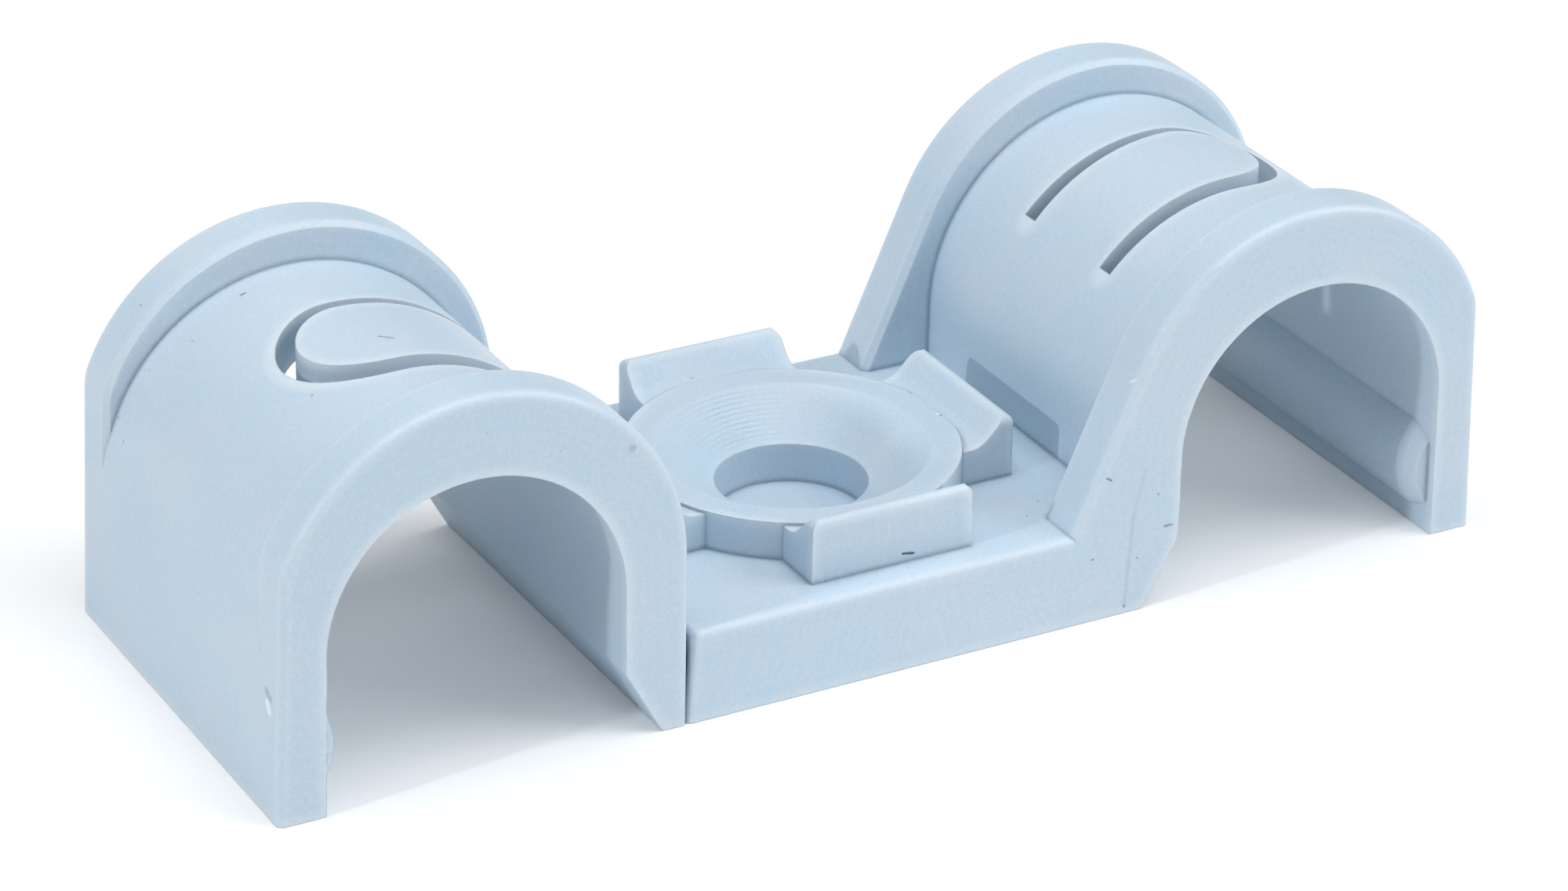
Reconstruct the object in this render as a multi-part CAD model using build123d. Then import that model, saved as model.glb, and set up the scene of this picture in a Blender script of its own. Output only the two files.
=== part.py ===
from build123d import *
import os
from math import cos, radians, sin, sqrt, tan

# Double pipe clip, moulded in one piece: two saddles that each hold a pipe against the wall,
# and a base between them that takes one nail.
# +X runs from the left saddle to the right one, +Y along the pipes, +Z away from the wall.
# The origin is on the nail's axis, in the plane of the wall.

# Driving dimensions, in millimetres and degrees

# The pipe channels
PIPE_PITCH = 46.4
CLIP_DEPTH = 23.9
BORE_RADIUS = 7.7
BORE_CENTRE_HEIGHT = 8.1
LEG_FLARE = 0.2
LEAD_IN_HEIGHT = 3.6
LEAD_IN_WIDTH = 2.0

# The saddle's barrel and its end flanges
CROWN_WALL = 2.2
LEG_WALL = 2.3
OUTER_DRAFT = 2.4
FLANGE_THICKNESS = 2.9
FLANGE_RISE = 1.95
FLANGE_OVERHANG = 0.45
FLANGE_SHIFT = 0.3
GUSSET_SLOPE = 23.5

# The base plate and the slit at its left end
BASE_THICKNESS = 4.9
BASE_END_ROUND = 0.45
SLIT_WIDTH = 0.32
SLIT_FLOOR = 1.2

# The nail boss; a web closes its hole until the nail goes through
HOLE_RADIUS = 3.9
COUNTERSINK_RADIUS = 7.0
COUNTERSINK_DEPTH = 2.0
BOSS_RADIUS = 8.55
BOSS_HEIGHT = 2.05
WEB_THICKNESS = 2.85

# The four lugs round the boss
LUG_LENGTH = 9.0
LUG_REACH = 10.2
LUG_HEIGHT = 3.35
LUG_LAND = 0.45
LUG_RIDGE_ROUND = 0.3
LUG_CORNER_ROUND = 0.5
LUG_SLOPE_RUN = 1.4
LUG_FOOT_DROP = 0.15
LUG_FOOT_BLEND = 1.4

# The spring tongue in each crown, and the slot round it
TONGUE_ROOT = 7.4
TONGUE_TIP = 3.4
TONGUE_WIDTH = 6.3
TONGUE_LIFT = 1.5
SLOT_WIDTH = 0.95

# The bead along the inside of each outer leg
BEAD_HEIGHT = 3.5
BEAD_RADIUS = 3.5
BEAD_RISE = 1.0
BEAD_END_RISE = 0.58
BEAD_SETBACK = 0.5
BEAD_RAMP = 1.45

# Rounded and broken edges
EDGE_ROUND = 0.35
RIM_CHAMFER = 0.3
CORNER_ROUND = 3.0

# Pieces of one solid run this far into each other before they are joined
OVERLAP = 0.5

# Places that follow from the sizes above, measured outwards from the clip's middle
saddle_x = PIPE_PITCH / 2
half_depth = CLIP_DEPTH / 2
flange_inner_y = half_depth - FLANGE_THICKNESS
barrel_radius = BORE_RADIUS + LEG_WALL
barrel_top = BORE_CENTRE_HEIGHT + BORE_RADIUS + CROWN_WALL
barrel_centre_height = barrel_top - barrel_radius
barrel_inner_x = saddle_x - barrel_radius
barrel_outer_x = saddle_x + barrel_radius
flange_top = barrel_top + FLANGE_RISE
flange_x = saddle_x - FLANGE_SHIFT
flange_radius = barrel_radius + FLANGE_SHIFT + FLANGE_OVERHANG
flange_centre_height = flange_top - flange_radius
flank_x = flange_x - flange_radius
boss_top = BASE_THICKNESS + BOSS_HEIGHT
clear_height = flange_top + OVERLAP


def outer_wall_x(height):
    """The drafted outer wall, flush with the barrel at the barrel's widest height."""
    return barrel_outer_x + (barrel_centre_height - height) * tan(radians(OUTER_DRAFT))


def extruded(outline, near_y, far_y):
    """A face drawn in X and Z, pulled along Y from near_y to far_y."""
    return extrude(Plane.XZ.offset(-near_y) * outline, amount=near_y - far_y)


def wall_corner():
    """Where the flange's arc meets the drafted outer wall."""
    slope = tan(radians(OUTER_DRAFT))
    reach = outer_wall_x(flange_centre_height) - flange_x
    rise = (reach * slope + sqrt(flange_radius**2 * (1 + slope**2) - reach**2)) / (1 + slope**2)
    return outer_wall_x(flange_centre_height + rise), flange_centre_height + rise


def softened(face, corner, radius):
    """A flat face with one of its corners rounded."""
    return fillet(face.vertices().sort_by_distance(corner)[0], radius)


def gusset_outline():
    """A flange whose arc runs on as a straight gusset down to the base."""
    slope = radians(GUSSET_SLOPE)
    tangent = (flange_x - flange_radius * cos(slope), flange_centre_height + flange_radius * sin(slope))
    foot_x = tangent[0] - (tangent[1] - BASE_THICKNESS) * tan(slope)
    corner = wall_corner()
    arc = ThreePointArc(corner, (flange_x, flange_top), tangent)
    sides = Polyline(tangent, (foot_x, BASE_THICKNESS), (foot_x, 0), (outer_wall_x(0), 0), corner)
    return softened(make_face(arc + sides), corner, CORNER_ROUND)


def plain_outline():
    """A flange whose arc runs on as an upright flank."""
    flank_top = (flank_x, flange_centre_height)
    corner = wall_corner()
    arc = ThreePointArc(corner, (flange_x, flange_top), flank_top)
    sides = Polyline(flank_top, (flank_x, 0), (outer_wall_x(0), 0), corner)
    return softened(make_face(arc + sides), corner, CORNER_ROUND)


def flange(outline):
    """The front flange, with its face's rim rounded and the arc's inner rim broken."""
    plate = extruded(outline, -half_depth, -flange_inner_y)
    face_rim = plate.edges().group_by(Axis.Y)[0].sort_by(Axis.Z)[1:]
    plate = fillet(face_rim, EDGE_ROUND)
    crown_arc = plate.edges().group_by(Axis.Y)[-1].filter_by(GeomType.CIRCLE).sort_by(Axis.Z)[-1]
    return chamfer(crown_arc, RIM_CHAMFER)


def barrel():
    """The half tube over the pipe, on legs that reach down to the wall."""
    tangent = (barrel_inner_x, barrel_centre_height)
    outer = (barrel_outer_x, barrel_centre_height)
    legs = Polyline(tangent, (barrel_inner_x, 0), (outer_wall_x(0), 0), outer)
    outline = ThreePointArc(outer, (saddle_x, barrel_top), tangent) + legs
    reach = flange_inner_y + OVERLAP
    return extruded(make_face(outline), -reach, reach)


def channel():
    """What is cut away for the pipe: round above, a little wider at the mouth, with a lead-in."""
    inner_x = saddle_x - BORE_RADIUS
    outer_x = saddle_x + BORE_RADIUS
    crown = (saddle_x, BORE_CENTRE_HEIGHT + BORE_RADIUS)
    sides = Polyline(
        (inner_x, BORE_CENTRE_HEIGHT),
        (inner_x, LEAD_IN_HEIGHT),
        (inner_x - LEAD_IN_WIDTH, 0),
        (inner_x - LEAD_IN_WIDTH, -OVERLAP),
        (outer_x + LEG_FLARE, -OVERLAP),
        (outer_x + LEG_FLARE, 0),
        (outer_x, BORE_CENTRE_HEIGHT),
    )
    outline = ThreePointArc((outer_x, BORE_CENTRE_HEIGHT), crown, (inner_x, BORE_CENTRE_HEIGHT)) + sides
    reach = half_depth + OVERLAP
    return extruded(make_face(outline), -reach, reach)


def tongue_plan(root_x, half_width):
    """The tongue's shape seen from above: straight sides and a half-round free end."""
    round_x = saddle_x + TONGUE_TIP - TONGUE_WIDTH / 2
    straight = Pos((root_x + round_x) / 2, 0) * Rectangle(round_x - root_x, 2 * half_width)
    end = Pos(round_x, 0) * Circle(half_width)
    column = extrude(straight + end, clear_height - barrel_centre_height)
    return Pos(0, 0, barrel_centre_height) * column


def tongue_slot():
    """The opening in the crown that the tongue stands in."""
    return tongue_plan(saddle_x - TONGUE_ROOT, TONGUE_WIDTH / 2 + SLOT_WIDTH)


def tongue():
    """The tongue: a strip of the barrel whose top is turned outwards a little about its root."""
    root_z = barrel_centre_height + sqrt(barrel_radius**2 - TONGUE_ROOT**2)
    root = Pos(saddle_x - TONGUE_ROOT, 0, root_z)
    rod = Pos(saddle_x, 0, barrel_centre_height) * Rot(90, 0, 0) * Cylinder(barrel_radius, TONGUE_WIDTH)
    lifted = root * Rot(0, -TONGUE_LIFT, 0) * root.inverse() * rod
    return lifted & tongue_plan(saddle_x - TONGUE_ROOT - OVERLAP, TONGUE_WIDTH / 2)


def bead():
    """The rounded rib that keeps the pipe in: part of a rod that tapers to a flat at each end."""
    leg_x = saddle_x + BORE_RADIUS + LEG_FLARE * (1 - BEAD_HEIGHT / BORE_CENTRE_HEIGHT)
    end_radius = BEAD_RADIUS - BEAD_RISE + BEAD_END_RISE
    end_y = half_depth - BEAD_SETBACK
    crest_y = end_y - BEAD_RAMP
    profile = Polyline(
        (0, -end_y),
        (end_radius, -end_y),
        (BEAD_RADIUS, -crest_y),
        (BEAD_RADIUS, crest_y),
        (end_radius, end_y),
        (0, end_y),
        close=True,
    )
    rod = revolve(make_face(profile), Axis.Y)
    rod = Pos(leg_x + BEAD_RADIUS - BEAD_RISE, 0, BEAD_HEIGHT) * rod
    inner_part = Box(BEAD_RISE + OVERLAP, CLIP_DEPTH, 2 * BEAD_HEIGHT)
    return rod & Pos(leg_x + (OVERLAP - BEAD_RISE) / 2, 0, BEAD_HEIGHT) * inner_part


def base_plate():
    """The plate between the saddles; its left end leans away from the left saddle and leaves a slit."""
    right_x = barrel_inner_x + OVERLAP
    lean = SLIT_WIDTH / (BASE_THICKNESS - SLIT_FLOOR)
    outline = Polyline(
        (-flank_x - SLIT_FLOOR * lean, 0),
        (right_x, 0),
        (right_x, BASE_THICKNESS),
        (-flank_x + SLIT_WIDTH, BASE_THICKNESS),
        close=True,
    )
    plate = extruded(make_face(outline), -half_depth, half_depth)
    left_uprights = plate.faces().sort_by(Axis.X)[0].edges().filter_by(Axis.Y, reverse=True)
    plate = fillet(left_uprights, BASE_END_ROUND)
    top_rim = plate.faces().sort_by(Axis.Z)[-1].edges().sort_by(Axis.X)[:-1]
    return fillet(top_rim, EDGE_ROUND)


def left_neck():
    """The bridge from the base into the left saddle's inner leg, between the flanges."""
    start_x = -(barrel_inner_x + OVERLAP)
    end_x = -flank_x + SLIT_WIDTH + BASE_END_ROUND + OVERLAP
    size = (end_x - start_x, 2 * flange_inner_y, BASE_THICKNESS)
    return Pos((start_x + end_x) / 2, 0, BASE_THICKNESS / 2) * Box(*size)


def boss():
    """The round pad that the nail goes through."""
    return Pos(0, 0, boss_top / 2) * Cylinder(BOSS_RADIUS, boss_top)


def lug_section():
    """A lug cut through: an upright outer face, a narrow ridge and a slope that runs out on the boss."""
    ridge_z = BASE_THICKNESS + LUG_HEIGHT
    boss_end_x = sqrt(BOSS_RADIUS**2 - (LUG_LENGTH / 2) ** 2)
    inner_x = (COUNTERSINK_RADIUS + boss_end_x) / 2
    outer_corner = (LUG_REACH, ridge_z)
    inner_corner = (LUG_REACH - LUG_LAND, ridge_z)
    slope_foot = (LUG_REACH - LUG_LAND - LUG_SLOPE_RUN, boss_top - LUG_FOOT_DROP)
    outline = Polyline(
        (inner_x, BASE_THICKNESS - OVERLAP),
        (LUG_REACH, BASE_THICKNESS - OVERLAP),
        outer_corner,
        inner_corner,
        slope_foot,
        (inner_x, boss_top - LUG_FOOT_DROP),
        close=True,
    )
    section = softened(make_face(outline), slope_foot, LUG_FOOT_BLEND)
    section = softened(section, inner_corner, LUG_RIDGE_ROUND)
    return softened(section, outer_corner, LUG_RIDGE_ROUND)


def lug():
    """One lug, at +X, with the two ends of its ridge rounded."""
    ridge_z = BASE_THICKNESS + LUG_HEIGHT
    outside = Pos(0, ridge_z / 2) * Rectangle(LUG_LENGTH, ridge_z)
    outside = fillet(outside.vertices().group_by(Axis.Y)[-1], LUG_CORNER_ROUND)
    block = extruded(lug_section(), -LUG_LENGTH / 2, LUG_LENGTH / 2)
    return block & extrude(Plane.YZ * outside, LUG_REACH)


def nail_hole():
    """The countersink and the blind hole under it."""
    countersink_foot = boss_top - COUNTERSINK_DEPTH
    profile = Polyline(
        (0, WEB_THICKNESS),
        (HOLE_RADIUS, WEB_THICKNESS),
        (HOLE_RADIUS, countersink_foot),
        (COUNTERSINK_RADIUS, boss_top),
        (COUNTERSINK_RADIUS, clear_height),
        (0, clear_height),
        close=True,
    )
    return revolve(Plane.XZ * make_face(profile), Axis.Z)


def on_both_sides(piece):
    """A piece of the right saddle and its mirror image for the left one."""
    return piece, mirror(piece, about=Plane.YZ)


def front_and_rear(piece):
    """A piece at the front and its mirror image at the rear."""
    return piece, mirror(piece, about=Plane.XZ)


right_flanges = front_and_rear(flange(gusset_outline()))
left_flanges = front_and_rear(mirror(flange(plain_outline()), about=Plane.YZ))
lugs = [Rot(0, 0, quarter * 90) * lug() for quarter in range(4)]

clip = Part() + [base_plate(), left_neck(), boss(), *lugs]
clip += [*on_both_sides(barrel()), *right_flanges, *left_flanges]
clip -= on_both_sides(tongue_slot())
clip += on_both_sides(tongue())
clip -= [*on_both_sides(channel()), nail_hole()]
clip += on_both_sides(bead())

os.makedirs("parts", exist_ok=True)
export_step(clip, "parts/double_pipe_clip.step")
print("solids", len(clip.solids()), "volume", round(clip.volume, 1), "size", clip.bounding_box().size)
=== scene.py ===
# %% [markdown]
# # A double pipe clip in moulded polypropylene
#
# The clip is one small moulding that holds two pipes against a wall. Its shape is finished
# already: it comes in as a fixed frame, in metres, and this lesson only dresses it. There are
# three things to make: a camera at the photo's own angle, the plastic with all its small marks,
# and a plain studio.

# %% Load the shape
from math import cos, pi, radians, sin

import bpy
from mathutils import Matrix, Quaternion, Vector


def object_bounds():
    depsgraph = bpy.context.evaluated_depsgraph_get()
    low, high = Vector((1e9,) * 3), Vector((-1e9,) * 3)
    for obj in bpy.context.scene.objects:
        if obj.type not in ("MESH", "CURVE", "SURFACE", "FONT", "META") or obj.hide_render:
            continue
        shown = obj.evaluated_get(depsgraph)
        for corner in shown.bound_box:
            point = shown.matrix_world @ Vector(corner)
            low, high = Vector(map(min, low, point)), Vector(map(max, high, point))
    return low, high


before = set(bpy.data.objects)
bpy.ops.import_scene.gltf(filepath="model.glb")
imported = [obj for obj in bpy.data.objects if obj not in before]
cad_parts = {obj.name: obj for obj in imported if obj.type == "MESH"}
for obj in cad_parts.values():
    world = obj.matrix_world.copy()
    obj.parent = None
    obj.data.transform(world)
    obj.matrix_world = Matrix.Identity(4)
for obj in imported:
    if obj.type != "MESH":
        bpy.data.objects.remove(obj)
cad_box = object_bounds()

MM = 0.001
scene = bpy.context.scene
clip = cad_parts["double_pipe_clip"]
print("clip size in mm:", [round(side / MM, 2) for side in cad_box[1] - cad_box[0]])

# %% [markdown]
# ## The camera
#
# A product photo like this one is taken from close by with a long lens, so that parallel edges
# stay nearly parallel. The camera could be placed by eye. Here its angles come from the clip's own
# corners: their real distances are known, so only one place and one lens make them fall where the
# photo shows them. The camera was also held a little crooked, which is the roll. Angles are in
# degrees, to the right of the front and above the floor.

# %% Aim the camera
CAMERA_AZIMUTH = -29.28
CAMERA_ELEVATION = 26.85
CAMERA_ROLL = 1.12
CAMERA_DISTANCE = 265.8 * MM
CAMERA_TARGET = Vector((-0.47, -0.03, 6.97)) * MM
SENSOR_WIDTH = 36.0
LENS = 121.8
NEAREST = 10 * MM
FARTHEST = 10000 * MM


def toward(azimuth, elevation):
    """The direction from the clip to a place at these angles."""
    turn, rise = radians(azimuth), radians(elevation)
    return Vector((sin(turn) * cos(rise), -cos(turn) * cos(rise), sin(rise)))


standpoint = toward(CAMERA_AZIMUTH, CAMERA_ELEVATION)
upright = standpoint.to_track_quat("Z", "Y")
camera = bpy.data.objects.new("camera", bpy.data.cameras.new("camera"))
camera.data.sensor_width = SENSOR_WIDTH
camera.data.lens = LENS
camera.data.clip_start = NEAREST
camera.data.clip_end = FARTHEST
camera.location = CAMERA_TARGET + standpoint * CAMERA_DISTANCE
camera.rotation_mode = "QUATERNION"
camera.rotation_quaternion = upright @ Quaternion((0, 0, 1), radians(CAMERA_ROLL))
scene.collection.objects.link(camera)
scene.camera = camera
print("camera in mm:", [round(value / MM, 1) for value in camera.location])

# %% [markdown]
# ## Colours and nodes
#
# Colours are written as the hex values that a paint program shows. Blender mixes light in linear
# values, so one function turns the one into the other. A second one adds a shader node with its
# settings and links, which keeps the material below short enough to read from top to bottom.
# Sockets are called by their names or their numbers. A Mix node has one set of sockets each for
# numbers, vectors and colours under the same names, so those for colours get names here.


# %% Two helpers
def linear(hex_colour):
    """An sRGB hex colour as Blender's linear RGBA."""
    shares = [int(hex_colour[start:start + 2], 16) / 255 for start in (1, 3, 5)]
    return [s / 12.92 if s <= 0.04045 else ((s + 0.055) / 1.055) ** 2.4 for s in shares] + [1.0]


def add(tree, kind, inputs, **settings):
    """A new node; an input is set to a value, or linked where it is given another node's socket."""
    node = tree.nodes.new(kind)
    for name, value in settings.items():
        setattr(node, name, value)
    for name, value in inputs.items():
        if isinstance(value, bpy.types.NodeSocket):
            tree.links.new(value, node.inputs[name])
        else:
            node.inputs[name].default_value = value
    return node


SHARE, UNDER, OVER, MIXED = 0, 6, 7, 2
print("mid grey in linear light:", round(linear("#808080")[0], 3))

# %% [markdown]
# ## The plastic's colour
#
# The real clip is injection moulded in pale blue-grey polypropylene, which is coloured through and
# through. The pigment never mixes in quite evenly, so where the melt flowed there are clouds a few
# millimetres wide, a shade bluer or a shade greyer. One flat colour would look like paint.
# Noise between two near colours does it, measured in millimetres on the object itself. Sizes in
# this material are in millimetres too, apart from those times MM, which Blender takes in metres.
# A range names the two values between which a change runs from none to full.

# %% Start the plastic
PALE_BLUE = linear("#BCD2E2")
PALE_GREY = linear("#C2D2E0")
CLOUD_SIZE = 5.0
CLOUD_RANGE = (0.35, 0.65)
NOISE_DETAIL = 3.0

plastic = bpy.data.materials.new("moulded_polypropylene")
plastic.use_nodes = True
tree = plastic.node_tree
tree.nodes.clear()
on_object = add(tree, "ShaderNodeTexCoord", {}).outputs
place_mm = add(
    tree, "ShaderNodeVectorMath", {0: on_object["Object"], "Scale": 1 / MM}, operation="SCALE"
).outputs[0]
clouds = add(
    tree,
    "ShaderNodeTexNoise",
    {"Vector": place_mm, "Scale": 1 / CLOUD_SIZE, "Detail": NOISE_DETAIL},
).outputs[0]
cloud_share = add(
    tree,
    "ShaderNodeMapRange",
    {"Value": clouds, "From Min": CLOUD_RANGE[0], "From Max": CLOUD_RANGE[1]},
).outputs[0]
colour = add(
    tree,
    "ShaderNodeMix",
    {SHARE: cloud_share, UNDER: PALE_BLUE, OVER: PALE_GREY},
    data_type="RGBA",
).outputs[MIXED]
print("clouds of about", CLOUD_SIZE, "mm in the pigment")

# %% [markdown]
# ## Dust, flecks, burrs and a painted glint
#
# A fresh moulding picks up dust at once, and now and then a burnt crumb of plastic or a fibre is
# caught in it. On the photo they are dark dots and short dashes of about a tenth of a millimetre.
# There are a few pale burrs too, where an edge was knocked, one pale dot on the boss that is a
# painted glint, and a faint line on the front face where two pieces of the mould met. An image
# could hold all this, but the marks are few enough to be put in their places one by one: each is
# a dot, or a dash between two ends, with a radius and a strength. Places are in millimetres and
# are drawn onto the nearest point of the clip's surface.

# %% List the marks that the photo shows
DUST_COLOUR = linear("#4A5F78")
FLECK_COLOUR = linear("#9C8296")
BURR_AND_GLINT_COLOUR = linear("#F2F6FA")
DUST = {
    "fibre on the left barrel": ((-26.3, 7.7, 17.5), (-26.1, 7.7, 17.6), 0.08, 0.8),
    "left rear rim": ((-30.5, 10.2, 16.8), None, 0.08, 0.6),
    "left barrel, high": ((-29.2, 7.0, 16.0), None, 0.08, 0.5),
    "left barrel, rear": ((-31.0, 8.2, 14.3), None, 0.08, 0.5),
    "nick on the left edge": ((-33.3, -10.4, 6.5), (-33.3, -10.8, 6.3), 0.28, 0.35),
    # The spot on the left front face is a soft, faint darker patch, kept with the dust for its
    # colour only; what darkens the face there is not known.
    "spot on the left front face": ((-15.2, -12.0, 15.6), None, 0.28, 0.25),
    "boss, right": ((8.2, 2.3, 7.0), None, 0.1, 0.9),
    "boss, far right": ((8.3, -0.6, 7.0), None, 0.09, 0.7),
    "dash on the front lug": ((0.6, -10.2, 5.4), (1.2, -10.2, 5.3), 0.09, 1.0),
    "rear lug": ((-1.1, 8.6, 7.1), None, 0.08, 0.5),
    "base": ((8.6, -8.7, 4.9), None, 0.1, 0.5),
    "base, right": ((9.9, -7.6, 4.9), None, 0.1, 0.4),
    "dash on the right gusset": ((11.1, -12.0, 7.9), (11.4, -12.0, 7.7), 0.06, 0.8),
    "base front": ((10.5, -12.0, 3.5), None, 0.09, 0.8),
    "mould line, upper": ((13.4, -12.0, 7.9), (12.8, -12.0, 5.4), 0.14, 0.08),
    "mould line, lower": ((12.8, -12.0, 5.4), (12.5, -12.0, 0.5), 0.14, 0.13),
    "end of the mould line": ((12.5, -12.0, 0.4), None, 0.13, 0.7),
}
FLECKS = {
    "left tongue": ((-22.9, -0.7, 18.2), (-22.3, -1.1, 18.1), 0.08, 0.9),
    "left wall": ((-32.5, 8.8, 11.8), None, 0.1, 0.7),
    "left wall, lower": ((-32.7, 7.6, 11.1), None, 0.1, 0.7),
    "left barrel": ((-27.4, -3.0, 17.1), None, 0.11, 0.7),
    "right of the mould line": ((13.1, -12.0, 3.0), None, 0.09, 0.7),
    "by the right bore": ((14.2, -12.0, 6.3), None, 0.1, 0.6),
    "lead-in": ((14.7, -12.0, 4.4), (15.1, -12.0, 4.4), 0.09, 0.9),
}
BURRS_AND_GLINT = {
    "left edge": ((-33.3, -10.5, 5.9), (-33.3, -10.7, 5.6), 0.28, 0.75),
    "right gusset's edge": ((12.6, -11.3, 12.6), (12.7, -11.6, 12.8), 0.1, 0.6),
    # Painted glint: this pale dot on the boss's rim stands in for a spark of light, not a burr.
    "boss": ((8.2, -0.4, 7.0), None, 0.1, 0.9),
}


def on_surface(place):
    """The point of the clip's surface that is nearest to a place, both in millimetres."""
    return clip.closest_point_on_mesh(Vector(place) * MM)[1] / MM


print(len(DUST), "dust marks,", len(FLECKS), "flecks and", len(BURRS_AND_GLINT), "burrs")

# %% [markdown]
# A mark covers what is nearer to its dot or dash than its radius, and a little noise in the place
# makes its outline ragged. For a dash, the distance is taken to the nearest point between its two
# ends. A row of dots would also do, but it takes many more nodes and much longer to render.

# %% Put the marks in their places
RAGGED_SIZE = 0.12
RAGGED_REACH = 0.1
NOISE_MIDDLE = 0.5

ragged_noise = add(
    tree, "ShaderNodeTexNoise", {"Vector": place_mm, "Scale": 1 / RAGGED_SIZE}
).outputs[1]
centred_noise = add(
    tree, "ShaderNodeVectorMath", {0: ragged_noise, 1: [NOISE_MIDDLE] * 3}, operation="SUBTRACT"
).outputs[0]
ragged_place = add(
    tree,
    "ShaderNodeVectorMath",
    {0: centred_noise, 1: [RAGGED_REACH] * 3, 2: place_mm},
    operation="MULTIPLY_ADD",
).outputs[0]
for mark_colour, marks in ((DUST_COLOUR, DUST), (FLECK_COLOUR, FLECKS), (BURR_AND_GLINT_COLOUR, BURRS_AND_GLINT)):
    covered = 0.0
    for start, end, radius, strength in marks.values():
        offset = add(
            tree,
            "ShaderNodeVectorMath",
            {0: ragged_place, 1: on_surface(start)},
            operation="SUBTRACT",
        ).outputs[0]
        if end:
            dash = on_surface(end) - on_surface(start)
            along = add(
                tree,
                "ShaderNodeVectorMath",
                {0: offset, 1: dash / dash.length_squared},
                operation="DOT_PRODUCT",
            ).outputs["Value"]
            way = add(tree, "ShaderNodeClamp", {"Value": along}).outputs[0]
            nearest = add(
                tree, "ShaderNodeVectorMath", {0: dash, "Scale": way}, operation="SCALE"
            ).outputs[0]
            offset = add(
                tree, "ShaderNodeVectorMath", {0: offset, 1: nearest}, operation="SUBTRACT"
            ).outputs[0]
        gap = add(
            tree, "ShaderNodeVectorMath", {0: offset}, operation="LENGTH"
        ).outputs["Value"]
        shade = add(
            tree,
            "ShaderNodeMapRange",
            {"Value": gap, "From Min": radius, "From Max": radius / 2, "To Max": strength},
        ).outputs[0]
        covered = add(
            tree, "ShaderNodeMath", {0: shade, 1: covered}, operation="MAXIMUM"
        ).outputs[0]
    colour = add(
        tree,
        "ShaderNodeMix",
        {SHARE: covered, UNDER: colour, OVER: mark_colour},
        data_type="RGBA",
    ).outputs[MIXED]
print(len(tree.nodes), "nodes with the marks")

# %% [markdown]
# The photo shows one side only, but dust settles everywhere. Cells scattered through space leave a
# faint dot wherever the clip's surface passes close to a cell's middle, so that the back and the
# ends aren't cleaner than the front.

# %% Scatter faint dust over all sides
SCATTER_SPACING = 2.6
SCATTER_RADIUS = 0.07
SCATTER_STRENGTH = 0.45

cells = add(
    tree, "ShaderNodeTexVoronoi", {"Vector": place_mm, "Scale": 1 / SCATTER_SPACING}
).outputs["Distance"]
scatter = add(
    tree,
    "ShaderNodeMapRange",
    {
        "Value": cells,
        "From Min": SCATTER_RADIUS / SCATTER_SPACING,
        "From Max": 0.0,
        "To Max": SCATTER_STRENGTH,
    },
).outputs[0]
colour = add(
    tree,
    "ShaderNodeMix",
    {SHARE: scatter, UNDER: colour, OVER: DUST_COLOUR},
    data_type="RGBA",
).outputs[MIXED]
print("one cell of faint dust in", round(SCATTER_SPACING**3, 1), "cubic mm")

# %% [markdown]
# ## Edges and corners
#
# Plastic never quite fills a mould's sharp corners, so every edge has a round of at least a tenth
# of a millimetre. A painted highlight, a thin, light line of paler colour, runs along the edges.
# In the inner corners it's the other way round: painted shade, a darker colour, stands in for the
# shade that gathers there. Both could be painted by hand. Here the occlusion node finds them,
# looking out from the surface for the corners and into the plastic for the edges, and the bevel
# node turns the shading round the edges that are too sharp to be round in the shape.

# %% Paint highlights on the edges, and shade in the corners
EDGE_SOFTNESS = 0.12 * MM
EDGE_REACH = 0.7 * MM
EDGE_RANGE = (0.85, 0.6)
EDGE_HIGHLIGHT_COLOUR = linear("#DFE9F1")
EDGE_STRENGTH = 0.55
CORNER_REACH = 0.3 * MM
CORNER_RANGE = (0.85, 0.45)
CORNER_SHADE_COLOUR = linear("#3F5A74")
CORNER_STRENGTH = 0.5
RAY_SAMPLES = 2

inner_depth = add(
    tree,
    "ShaderNodeAmbientOcclusion",
    {"Distance": EDGE_REACH},
    samples=RAY_SAMPLES,
    inside=True,
    only_local=True,
).outputs["AO"]
# Painted highlight: the edges get a paler colour, standing in for the light that their rounds
# catch.
highlighted = add(
    tree,
    "ShaderNodeMapRange",
    {
        "Value": inner_depth,
        "From Min": EDGE_RANGE[0],
        "From Max": EDGE_RANGE[1],
        "To Max": EDGE_STRENGTH,
    },
).outputs[0]
colour = add(
    tree,
    "ShaderNodeMix",
    {SHARE: highlighted, UNDER: colour, OVER: EDGE_HIGHLIGHT_COLOUR},
    data_type="RGBA",
).outputs[MIXED]
openness = add(
    tree,
    "ShaderNodeAmbientOcclusion",
    {"Distance": CORNER_REACH},
    samples=RAY_SAMPLES,
    only_local=True,
).outputs["AO"]
# Painted shade: the inner corners get a darker colour, standing in for the shade that falls there.
shaded = add(
    tree,
    "ShaderNodeMapRange",
    {
        "Value": openness,
        "From Min": CORNER_RANGE[0],
        "From Max": CORNER_RANGE[1],
        "To Max": CORNER_STRENGTH,
    },
).outputs[0]
colour = add(
    tree,
    "ShaderNodeMix",
    {SHARE: shaded, UNDER: colour, OVER: CORNER_SHADE_COLOUR},
    data_type="RGBA",
).outputs[MIXED]
soft_edge = add(
    tree, "ShaderNodeBevel", {"Radius": EDGE_SOFTNESS}, samples=RAY_SAMPLES
).outputs[0]
print("edges rubbed over", round(EDGE_REACH / MM, 2), "mm")
print("film within", round(CORNER_REACH / MM, 2), "mm of a corner")

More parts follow.
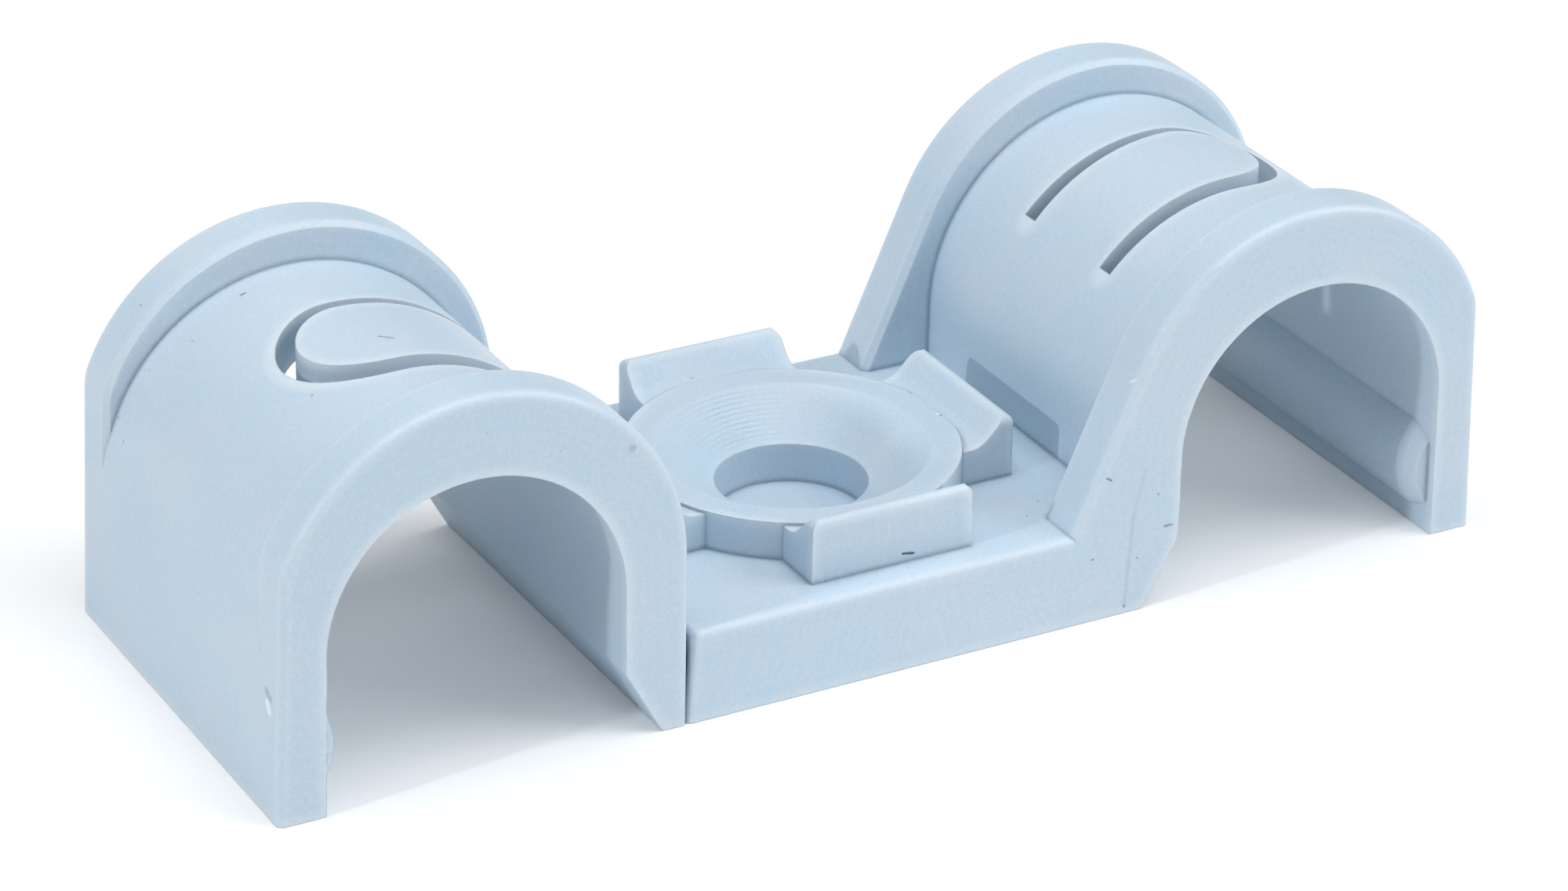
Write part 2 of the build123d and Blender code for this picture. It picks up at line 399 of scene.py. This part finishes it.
# %% [markdown]
# ## The lathe's rings
#
# The mould's countersink was turned on a lathe, and its fine rings show on the cone, most of all
# behind the hole. They could be cut into the shape, but they're only some thousandths of
# a millimetre deep. A sine wave of the distance from the hole's axis draws them as bumps instead,
# kept to the cone by its radius and its height. Real turning marks are finer than these: at less
# than a quarter of a millimetre they would be lost between the pixels.

# %% Turn the rings on the countersink
RING_PITCH = 0.25
HOLE_RADIUS = 3.9
COUNTERSINK_RADIUS = 7.0
CONE_FOOT_HEIGHT = 4.95
BOSS_HEIGHT = 6.95
RIM_MARGIN = 0.06
RING_PLACE = (-0.3, 5.4, 6.0)
RING_REACH = 3.0
RING_REST = 0.08

cone_width = COUNTERSINK_RADIUS - HOLE_RADIUS
cone_height = BOSS_HEIGHT - CONE_FOOT_HEIGHT
height = add(tree, "ShaderNodeSeparateXYZ", {0: place_mm}).outputs["Z"]
level_place = add(
    tree, "ShaderNodeVectorMath", {0: place_mm, 1: (1, 1, 0)}, operation="MULTIPLY"
).outputs[0]
from_hole_axis = add(
    tree, "ShaderNodeVectorMath", {0: level_place}, operation="LENGTH"
).outputs["Value"]
ring_turn = add(
    tree, "ShaderNodeMath", {0: from_hole_axis, 1: 2 * pi / RING_PITCH}, operation="MULTIPLY"
).outputs[0]
ring_wave = add(tree, "ShaderNodeMath", {0: ring_turn}, operation="SINE").outputs[0]
in_cone_width = add(
    tree,
    "ShaderNodeMath",
    {0: from_hole_axis, 1: HOLE_RADIUS + cone_width / 2, 2: cone_width / 2 - RIM_MARGIN},
    operation="COMPARE",
).outputs[0]
in_cone_height = add(
    tree,
    "ShaderNodeMath",
    {0: height, 1: CONE_FOOT_HEIGHT + cone_height / 2, 2: cone_height / 2 - RIM_MARGIN},
    operation="COMPARE",
).outputs[0]
on_cone = add(
    tree, "ShaderNodeMath", {0: in_cone_width, 1: in_cone_height}, operation="MULTIPLY"
).outputs[0]
# Behind the hole the rings are strongest: there their lines in the colour are painted glints.
ring_gap = add(
    tree, "ShaderNodeVectorMath", {0: place_mm, 1: RING_PLACE}, operation="DISTANCE"
).outputs["Value"]
ring_share = add(
    tree,
    "ShaderNodeMapRange",
    {"Value": ring_gap, "From Min": RING_REACH, "From Max": 0.0, "To Min": RING_REST},
).outputs[0]
cone_share = add(
    tree, "ShaderNodeMath", {0: on_cone, 1: ring_share}, operation="MULTIPLY"
).outputs[0]
rings = add(
    tree, "ShaderNodeMath", {0: ring_wave, 1: cone_share}, operation="MULTIPLY"
).outputs[0]
print(round(cone_width / RING_PITCH), "rings on the countersink's cone")

# %% [markdown]
# ## The mill's arcs
#
# The mould's end faces were milled round the two bores, and faint arcs show there. They're drawn
# as the rings are, from the distance to a bore's axis. The clip has the same bore on both sides,
# so the place is mirrored to one side first. Only faces that look straight to the front or the
# back have the arcs. Like most tool marks they're worn off in parts, which a noise does.

# %% Mill the arcs on the end faces
BORE_PLACE = (23.2, 0.0, 8.1)
ARC_PITCH = 0.6
ARC_SHARE = 0.07
END_FACE_TILT = 0.05
WORN_SIZE = 1.5
WORN_RANGE = (0.35, 0.55)
CUT_DEPTH = 0.007 * MM

one_side = add(tree, "ShaderNodeVectorMath", {0: place_mm}, operation="ABSOLUTE").outputs[0]
from_bore = add(
    tree, "ShaderNodeVectorMath", {0: one_side, 1: BORE_PLACE}, operation="SUBTRACT"
).outputs[0]
upright_place = add(
    tree, "ShaderNodeVectorMath", {0: from_bore, 1: (1, 0, 1)}, operation="MULTIPLY"
).outputs[0]
from_bore_axis = add(
    tree, "ShaderNodeVectorMath", {0: upright_place}, operation="LENGTH"
).outputs["Value"]
arc_turn = add(
    tree, "ShaderNodeMath", {0: from_bore_axis, 1: 2 * pi / ARC_PITCH}, operation="MULTIPLY"
).outputs[0]
arc_wave = add(tree, "ShaderNodeMath", {0: arc_turn}, operation="SINE").outputs[0]
facing = add(
    tree, "ShaderNodeVectorMath", {0: on_object["Normal"]}, operation="ABSOLUTE"
).outputs[0]
facing_end = add(tree, "ShaderNodeSeparateXYZ", {0: facing}).outputs["Y"]
on_end = add(
    tree, "ShaderNodeMath", {0: facing_end, 1: 1.0, 2: END_FACE_TILT}, operation="COMPARE"
).outputs[0]
end_share = add(
    tree, "ShaderNodeMath", {0: on_end, 1: ARC_SHARE}, operation="MULTIPLY"
).outputs[0]
cuts = add(
    tree, "ShaderNodeMath", {0: arc_wave, 1: end_share, 2: rings}, operation="MULTIPLY_ADD"
).outputs[0]
patches = add(
    tree,
    "ShaderNodeTexNoise",
    {"Vector": place_mm, "Scale": 1 / WORN_SIZE, "Detail": NOISE_DETAIL},
).outputs[0]
left_over = add(
    tree,
    "ShaderNodeMapRange",
    {"Value": patches, "From Min": WORN_RANGE[0], "From Max": WORN_RANGE[1]},
).outputs[0]
worn_cuts = add(
    tree, "ShaderNodeMath", {0: cuts, 1: left_over}, operation="MULTIPLY"
).outputs[0]
cut_normal = add(
    tree, "ShaderNodeBump", {"Height": worn_cuts, "Distance": CUT_DEPTH, "Normal": soft_edge}
).outputs[0]
print("arcs every", ARC_PITCH, "mm round the bores")

# %% [markdown]
# ## The satin grain
#
# The mould was left with a fine spark-eroded skin, so the plastic is satin: it mirrors nothing, but
# its edges and crowns still have soft highlights. The real grain is about 0.05 mm, finer than
# a pixel of this picture, so it's drawn about three times coarser, as a bump and as painted shade
# in its pits. The rings and arcs of the tool marks are painted into the colour too, as lines of
# painted shade and painted glints. Polypropylene's index of refraction is 1.49. Where the
# clip was handled it's a little smoother, which a slow noise in the roughness shows.

# %% Finish the plastic
POLYPROPYLENE_IOR = 1.49
SMOOTHEST = 0.36
ROUGHEST = 0.46
HANDLED_SIZE = 3.5
HANDLED_RANGE = (0.3, 0.7)
GRAIN_SIZE = 0.16
GRAIN_DETAIL = 2.0
GRAIN_DEPTH = 0.005 * MM
PIT_SHADE = 0.16
CUT_SHADE = 0.65

grain = add(
    tree,
    "ShaderNodeTexNoise",
    {"Vector": place_mm, "Scale": 1 / GRAIN_SIZE, "Detail": GRAIN_DETAIL},
).outputs[0]
# Painted shade and glints: the grain darkens its pits in the colour, and the rings and arcs add
# lines of painted shade and painted glint.
painted_shade_and_glints = add(
    tree, "ShaderNodeMath", {0: worn_cuts, 1: CUT_SHADE, 2: grain}, operation="MULTIPLY_ADD"
).outputs[0]
colour = add(
    tree,
    "ShaderNodeMix",
    {SHARE: PIT_SHADE, UNDER: colour, OVER: painted_shade_and_glints},
    data_type="RGBA",
    blend_type="OVERLAY",
).outputs[MIXED]
normal = add(
    tree, "ShaderNodeBump", {"Height": grain, "Distance": GRAIN_DEPTH, "Normal": cut_normal}
).outputs[0]
handled = add(
    tree,
    "ShaderNodeTexNoise",
    {"Vector": place_mm, "Scale": 1 / HANDLED_SIZE, "Detail": NOISE_DETAIL},
).outputs[0]
roughness = add(
    tree,
    "ShaderNodeMapRange",
    {
        "Value": handled,
        "From Min": HANDLED_RANGE[0],
        "From Max": HANDLED_RANGE[1],
        "To Min": SMOOTHEST,
        "To Max": ROUGHEST,
    },
).outputs[0]
shader = add(
    tree,
    "ShaderNodeBsdfPrincipled",
    {"Base Color": colour, "Roughness": roughness, "IOR": POLYPROPYLENE_IOR, "Normal": normal},
)
add(tree, "ShaderNodeOutputMaterial", {"Surface": shader.outputs[0]})
clip.data.materials.clear()
clip.data.materials.append(plastic)
print(len(tree.nodes), "nodes in", plastic.name)

# %% [markdown]
# ## The floor
#
# The clip stands on a sheet of white paper that runs back without an edge. It's matt, so that it
# takes the clip's soft shadow and throws some light back up into the channels. Far from the lamps
# the sheet would turn grey in the picture. More light would bleach the clip as well, so only the
# camera and mirror-like surfaces see the paper a little brighter than it is.

# %% Lay the paper
FLOOR_COLOUR = linear("#F4F5F6")
FLOOR_SIZE = 4000 * MM
FLOOR_DROP = 0.02 * MM
FLOOR_LIFT = 0.1

bpy.ops.mesh.primitive_plane_add(size=FLOOR_SIZE, location=(0, 0, cad_box[0].z - FLOOR_DROP))
floor = bpy.context.object
floor.name = "floor"
paper = bpy.data.materials.new("white_paper")
paper.use_nodes = True
tree = paper.node_tree
tree.nodes.clear()
ray = add(tree, "ShaderNodeLightPath", {}).outputs
mirrored = add(
    tree,
    "ShaderNodeMath",
    {0: ray["Is Glossy Ray"], 1: ray["Is Transmission Ray"]},
    operation="MAXIMUM",
).outputs[0]
seen = add(
    tree, "ShaderNodeMath", {0: ray["Is Camera Ray"], 1: mirrored}, operation="MAXIMUM"
).outputs[0]
lift = add(tree, "ShaderNodeMath", {0: seen, 1: FLOOR_LIFT}, operation="MULTIPLY").outputs[0]
matt = add(tree, "ShaderNodeBsdfDiffuse", {"Color": FLOOR_COLOUR}).outputs[0]
glow = add(tree, "ShaderNodeEmission", {"Color": FLOOR_COLOUR, "Strength": lift}).outputs[0]
sheet = add(tree, "ShaderNodeAddShader", {0: matt, 1: glow}).outputs[0]
add(tree, "ShaderNodeOutputMaterial", {"Surface": sheet})
floor.data.materials.append(paper)
print("paper at", round(floor.location.z / MM, 3), "mm")

# %% [markdown]
# ## The light
#
# The shadow of the right lug on the wall behind it is sharp and long, so one lamp is small and
# low, nearly straight from the left. The other shadows are soft: large softboxes from the right,
# from above and from behind fill them. Each lamp was rendered alone once, and the powers were then
# solved for, so that their sum comes closest to the photo's brightness all over the clip. Lamps
# could be tinted too, but that brought the colours no closer, so they're white. Angles are in
# degrees, as for the camera, and sizes in millimetres.

# %% Hang the lamps
WORLD_COLOUR = linear("#FFFFFF")
WORLD_STRENGTH = 0.195
LAMP_DISTANCE = 800 * MM
LAMPS = {
    "low_window": {"azimuth": -82, "elevation": 24, "size": 32, "watts": 1.5},
    "overhead": {"azimuth": 0, "elevation": 85, "size": 600, "watts": 3.9},
    "right_softbox": {"azimuth": 55, "elevation": 30, "size": 500, "watts": 3.0},
    "back": {"azimuth": 180, "elevation": 35, "size": 500, "watts": 0.5},
    "left_top": {"azimuth": -90, "elevation": 55, "size": 500, "watts": 0.66},
    "front": {"azimuth": 10, "elevation": 25, "size": 500, "watts": 0.2},
}

scene.world = bpy.data.worlds.new("studio")
scene.world.use_nodes = True
background = scene.world.node_tree.nodes["Background"].inputs
background["Color"].default_value = WORLD_COLOUR
background["Strength"].default_value = WORLD_STRENGTH
for name, lamp in LAMPS.items():
    light = bpy.data.lights.new(name, "AREA")
    light.size = lamp["size"] * MM
    light.energy = lamp["watts"]
    hanging = toward(lamp["azimuth"], lamp["elevation"])
    holder = bpy.data.objects.new(name, light)
    holder.location = hanging * LAMP_DISTANCE
    holder.rotation_mode = "QUATERNION"
    holder.rotation_quaternion = hanging.to_track_quat("Z", "Y")
    scene.collection.objects.link(holder)
print(len(LAMPS), "lamps,", round(sum(lamp["watts"] for lamp in LAMPS.values()), 2), "W in all")

# %% [markdown]
# ## Finish
#
# The picture is shown without a film curve, because its colours were matched to
# a plain photo.

# %% Finish
scene.view_settings.view_transform = "Standard"
